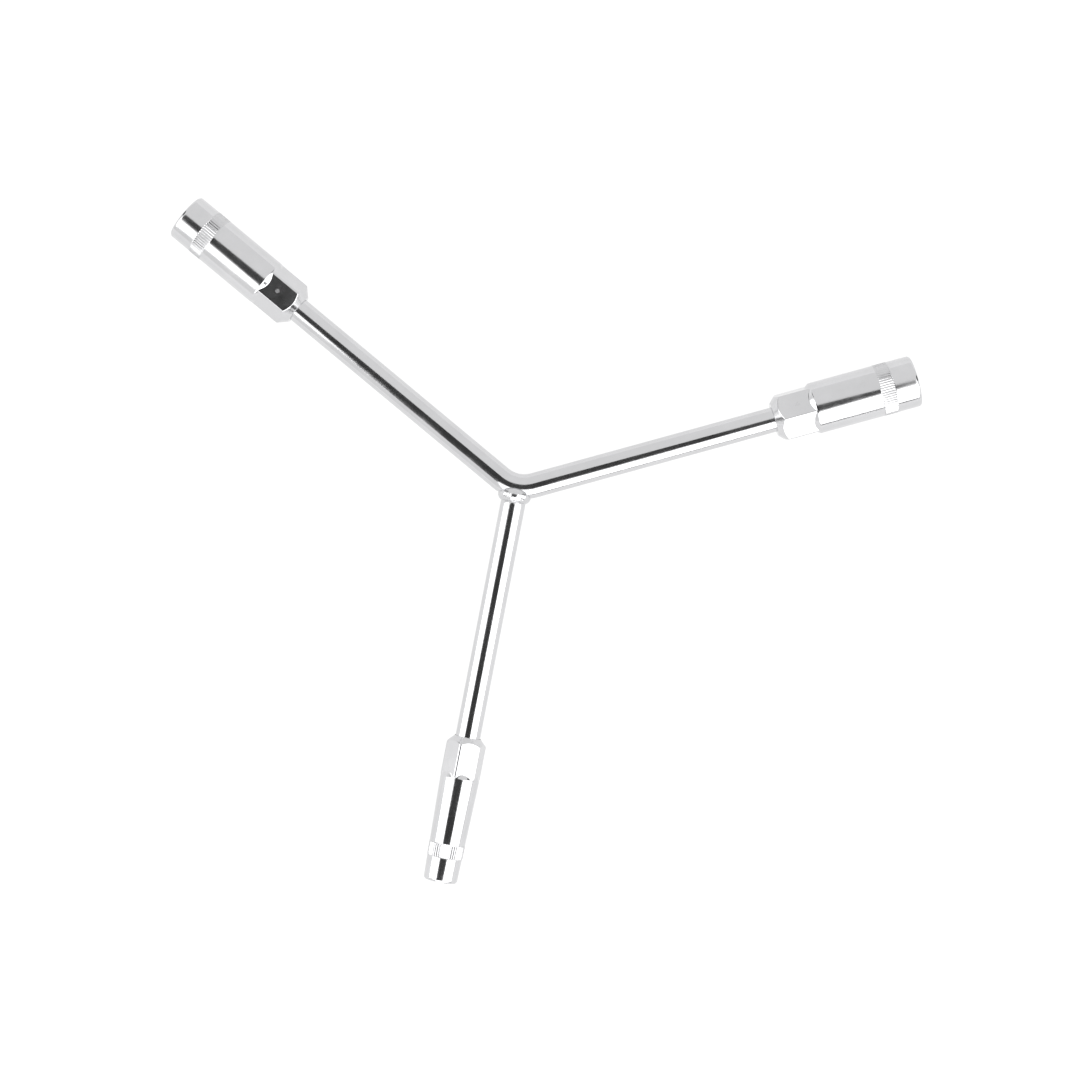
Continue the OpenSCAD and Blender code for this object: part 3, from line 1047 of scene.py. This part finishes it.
class WRENCH_OT_stage(bpy.types.Operator):
    """Sets up the floor, the room, the lights, the dark cards and the camera"""

    bl_idname = "wrench.stage"
    bl_label = "Stage"

    def execute(self, context):
        scene = context.scene
        stage = scene.wrench_stage
        half, low = FLOOR_HALF, CAD_BOX[0][2]
        corners = [(-half, -half, low), (half, -half, low), (half, half, low), (-half, half, low)]
        sheet = bpy.data.meshes.new("floor")
        sheet.from_pydata(corners, [], [(0, 1, 2, 3)])
        floor = bpy.data.objects.new("floor", sheet)
        scene.collection.objects.link(floor)
        sheet.materials.append(once(paper_material, "light_table", stage.floor, stage.table))

        world = bpy.data.worlds.new("room")
        world.use_nodes = True
        world.node_tree.nodes["Background"].inputs["Color"].default_value = (1, 1, 1, 1)
        world.node_tree.nodes["Background"].inputs["Strength"].default_value = stage.room
        scene.world = world

        turned = stage.turn
        for name, clockwise, off_top, width, height in SOFTBOXES:
            softbox(name, turned - math.radians(clockwise), math.radians(off_top), width, height, stage)

        to_right = np.array([math.cos(turned), math.sin(turned), 0])
        to_down = np.array([math.sin(turned), -math.cos(turned), 0])
        aim = CROSSING + to_right * stage.aim_right + to_down * stage.aim_down
        around = np.linspace(0, 2 * math.pi, HOOD_SIDES, endpoint=False)[:, None]
        hood = aim - to_right * stage.hood_left + to_down * stage.hood_down + UP * stage.hood_height
        hood = hood + stage.hood_radius * (np.cos(around) * to_right - np.sin(around) * to_down)
        card("lens_hood", hood, stage.dark_cloth)

        # The boom runs out square to the left arm, on its lower side; its width lies along the arm.
        outward = -ARMS["17"]["inward"]
        off_arm = np.cross(UP, outward)
        above = CROSSING + UP * stage.boom_height
        near, far = above + off_arm * stage.boom_start, above + off_arm * stage.boom_end
        wide = outward * stage.boom_width
        card("camera_boom", np.array([near, far, far + wide, near + wide]), stage.dark_cloth)

        # The skirt is an upright arc about the crossing, where the right arm's lower side faces.
        facing = np.cross(-ARMS["19"]["inward"], UP)
        middle = math.atan2(facing[1], facing[0])
        bend = middle + np.linspace(-SKIRT_HALF, SKIRT_HALF, SKIRT_POINTS)
        foot = stage.skirt_radius * np.column_stack([np.cos(bend), np.sin(bend), 0 * bend])
        foot = foot + CROSSING * (1, 1, 0)
        skirt = np.vstack([foot + UP * stage.skirt_foot, foot[::-1] + UP * stage.skirt_top])
        card("table_skirt", skirt, stage.dark_cloth)

        # One flag stands in each gap between the ways that the sides of the three arms face,
        # but for the two gaps that the bend itself looks into.
        bend_faces = unit(-ARMS["17"]["inward"] - ARMS["19"]["inward"])
        sides = [np.cross(UP, ARMS[size]["inward"]) * sign for size in SIZES for sign in (1, -1)]
        facings = sorted(math.atan2(side[1], side[0]) for side in sides)
        following = facings[1:] + [facings[0] + 2 * math.pi]
        for number, (first, second) in enumerate(zip(facings, following)):
            gap = (first + second) / 2
            out = np.array([math.cos(gap), math.sin(gap), 0])
            if abs(out @ bend_faces) > BEND_GAP_COSINE:
                continue
            across = np.cross(UP, out) * stage.flag_width / 2
            foot = CROSSING * (1, 1, 0) + out * stage.flag_distance + UP * stage.flag_foot
            top = foot + UP * (stage.flag_top - stage.flag_foot)
            flag = np.array([foot - across, foot + across, top + across, top - across])
            card(f"flag_{number + 1}", flag, stage.dark_cloth)

        camera_data = bpy.data.cameras.new("camera")
        camera_data.lens = stage.lens
        camera_data.sensor_width = SENSOR_WIDTH
        camera = bpy.data.objects.new("camera", camera_data)
        scene.collection.objects.link(camera)
        camera.location = aim + UP * stage.distance
        camera.rotation_euler = (0, 0, turned)
        scene.camera = camera
        scene.view_settings.view_transform = "Standard"
        return {"FINISHED"}


# ---------------------------------------------------------------- add-on

STEPS = (
    WRENCH_OT_bent_bar,
    WRENCH_OT_straight_bar,
    WRENCH_OT_weld_collar,
    WRENCH_OT_sockets,
    WRENCH_OT_pins,
    WRENCH_OT_stage,
)
GROUPS = {
    "wrench_bars": WrenchBars,
    "wrench_weld": WrenchWeld,
    "wrench_sockets": WrenchSockets,
    "wrench_finish": WrenchFinish,
    "wrench_stage": WrenchStage,
}


class WRENCH_PT_sidebar(bpy.types.Panel):
    """Lists the steps and the sizes behind them"""

    bl_idname = "WRENCH_PT_sidebar"
    bl_label = "Lug wrench"
    bl_space_type = "VIEW_3D"
    bl_region_type = "UI"
    bl_category = "Wrench"

    def draw(self, context):
        for step in STEPS:
            self.layout.operator(step.bl_idname)
        for group in GROUPS:
            box = self.layout.box()
            settings = getattr(context.scene, group)
            for name in settings.__annotations__:
                box.prop(settings, name)


CLASSES = (*GROUPS.values(), *STEPS, WRENCH_PT_sidebar)


def register():
    for made in CLASSES:
        bpy.utils.register_class(made)
    for name, group in GROUPS.items():
        setattr(bpy.types.Scene, name, PointerProperty(type=group))


def unregister():
    for name in GROUPS:
        delattr(bpy.types.Scene, name)
    for made in reversed(CLASSES):
        bpy.utils.unregister_class(made)


def main():
    register()
    bpy.ops.wrench.bent_bar()
    bpy.ops.wrench.straight_bar()
    bpy.ops.wrench.weld_collar()
    bpy.ops.wrench.sockets()
    bpy.ops.wrench.pins()
    bpy.ops.wrench.stage()


if __name__ == "__main__":
    main()
